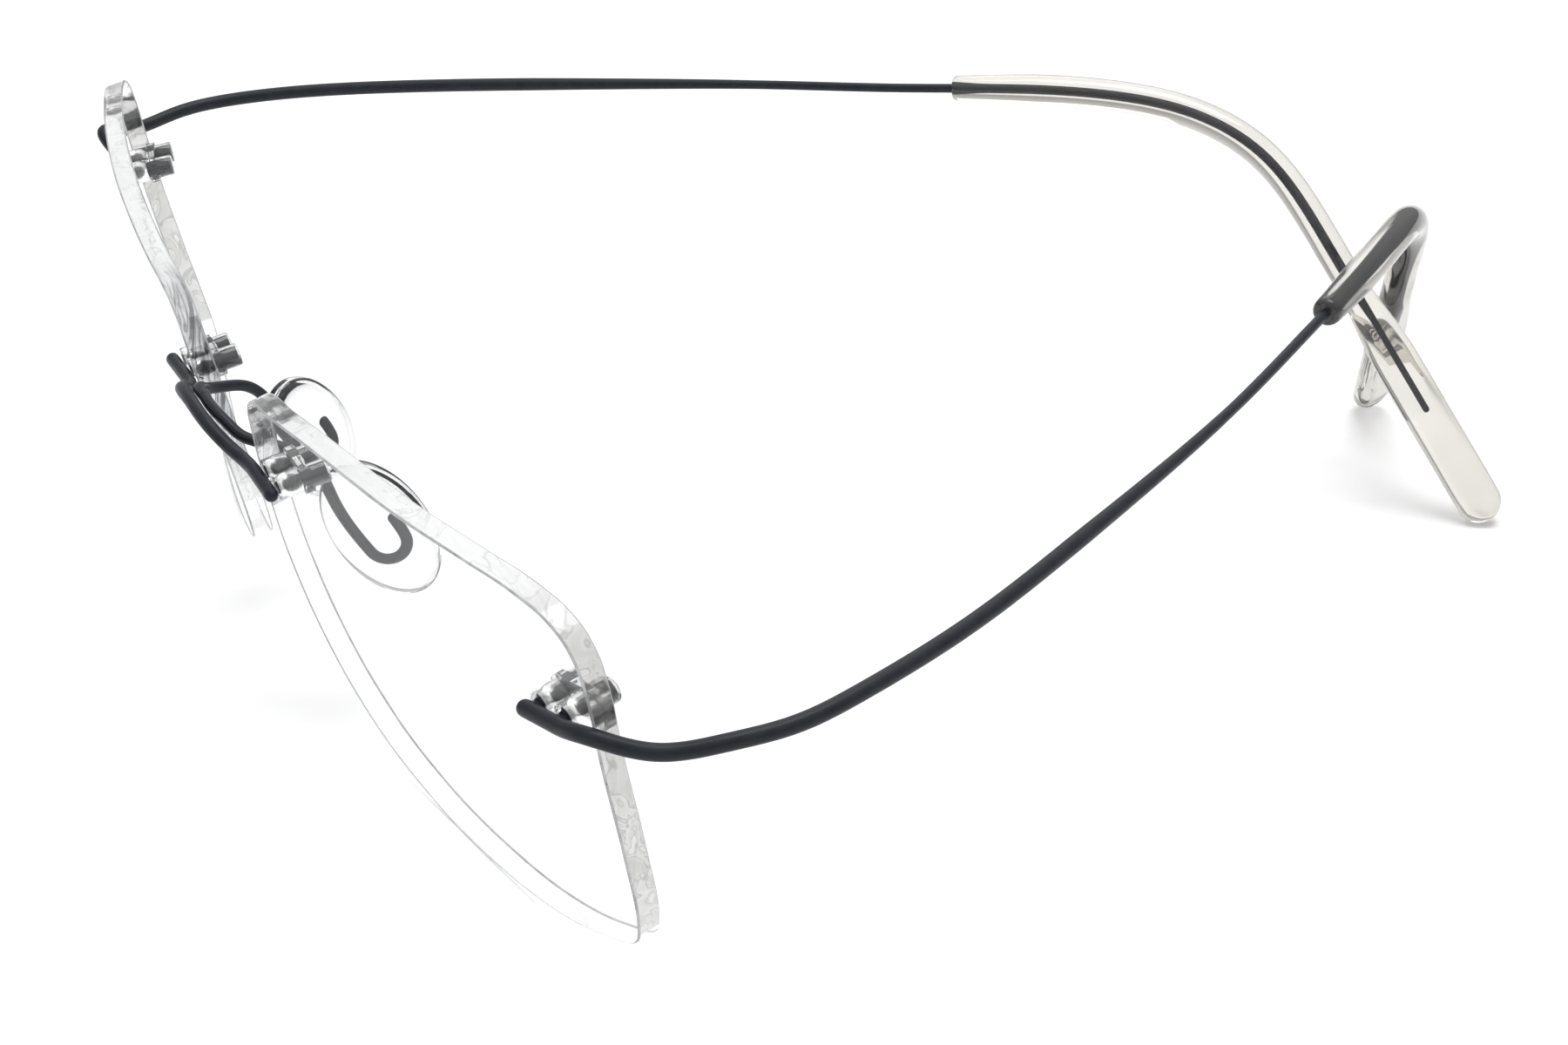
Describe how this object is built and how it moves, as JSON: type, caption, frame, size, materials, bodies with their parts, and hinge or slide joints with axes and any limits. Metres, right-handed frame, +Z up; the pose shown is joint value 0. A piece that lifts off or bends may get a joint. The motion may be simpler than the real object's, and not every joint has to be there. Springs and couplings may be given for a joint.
{
  "type": "rimless eyeglasses",
  "caption": "Rimless eyeglasses with clear lenses, a bent wire bridge, hingeless wire temples, clear nose pads and clear temple sleeves.",
  "frame": {"origin": "centre of the footprint, on the floor the glasses stand on", "axes": "+X towards the wearer's left, -Y to the front of the lenses, +Z up; the glasses stand on the lower edges of the lenses and on the tips"},
  "size_m": [0.1288, 0.125, 0.0349],
  "materials": {
    "lens": "clear, anti-reflection coated",
    "wire": "satin dark slate coating",
    "sleeve": "clear, soft gloss",
    "nose_pad": "clear, soft gloss",
    "bushing": "clear"
  },
  "bodies": {
    "front": {"lens_left": "lens", "lens_right": "lens", "bridge_wire": "wire", "pad_wire_centre": "wire", "pin_bridge_left_inner": "wire", "pin_bridge_left_outer": "wire", "pin_bridge_right_inner": "wire", "pin_bridge_right_outer": "wire", "pin_temple_left_inner": "wire", "pin_temple_left_outer": "wire", "pin_temple_right_inner": "wire", "pin_temple_right_outer": "wire", "bushing_bridge_left": "bushing", "bushing_bridge_right": "bushing", "bushing_temple_left": "bushing", "bushing_temple_right": "bushing", "temple_root_left": "wire", "temple_root_right": "wire"},
    "temple_left": {"temple_wire_left": "wire", "temple_sleeve_left": "sleeve"},
    "temple_right": {"temple_wire_right": "wire", "temple_sleeve_right": "sleeve"},
    "pad_left": {"pad_arm_left": "wire", "nose_pad_left": "nose_pad"},
    "pad_right": {"pad_arm_right": "wire", "nose_pad_right": "nose_pad"}
  },
  "joints": [
    {"name": "temple_left_flex", "type": "hinge", "parent": "front", "child": "temple_left", "pos_m": [0.06169, -0.04952, 0.02317], "axis": [-0.0087, 0.1143, -0.9934], "range_deg": [-0.5, 28], "stiffness_Nm_per_rad": 0.15},
    {"name": "temple_right_flex", "type": "hinge", "parent": "front", "child": "temple_right", "pos_m": [-0.0623, -0.04952, 0.02426], "axis": [0.0087, -0.1143, 0.9934], "range_deg": [-0.33, 18.2], "stiffness_Nm_per_rad": 0.15},
    {"name": "pad_left_flex", "type": "hinge", "parent": "front", "child": "pad_left", "pos_m": [0.00438, -0.05936, 0.02214], "axis": [-0.0087, 0.1143, -0.9934], "range_deg": [-6, 6], "stiffness_Nm_per_rad": 0.3},
    {"name": "pad_right_flex", "type": "hinge", "parent": "front", "child": "pad_right", "pos_m": [-0.00502, -0.05936, 0.02222], "axis": [0.0087, -0.1143, 0.9934], "range_deg": [-6, 6], "stiffness_Nm_per_rad": 0.3}
  ],
  "couplings": [
    {"joint": "temple_right_flex", "follows": "temple_left_flex", "ratio": 0.65}
  ]
}
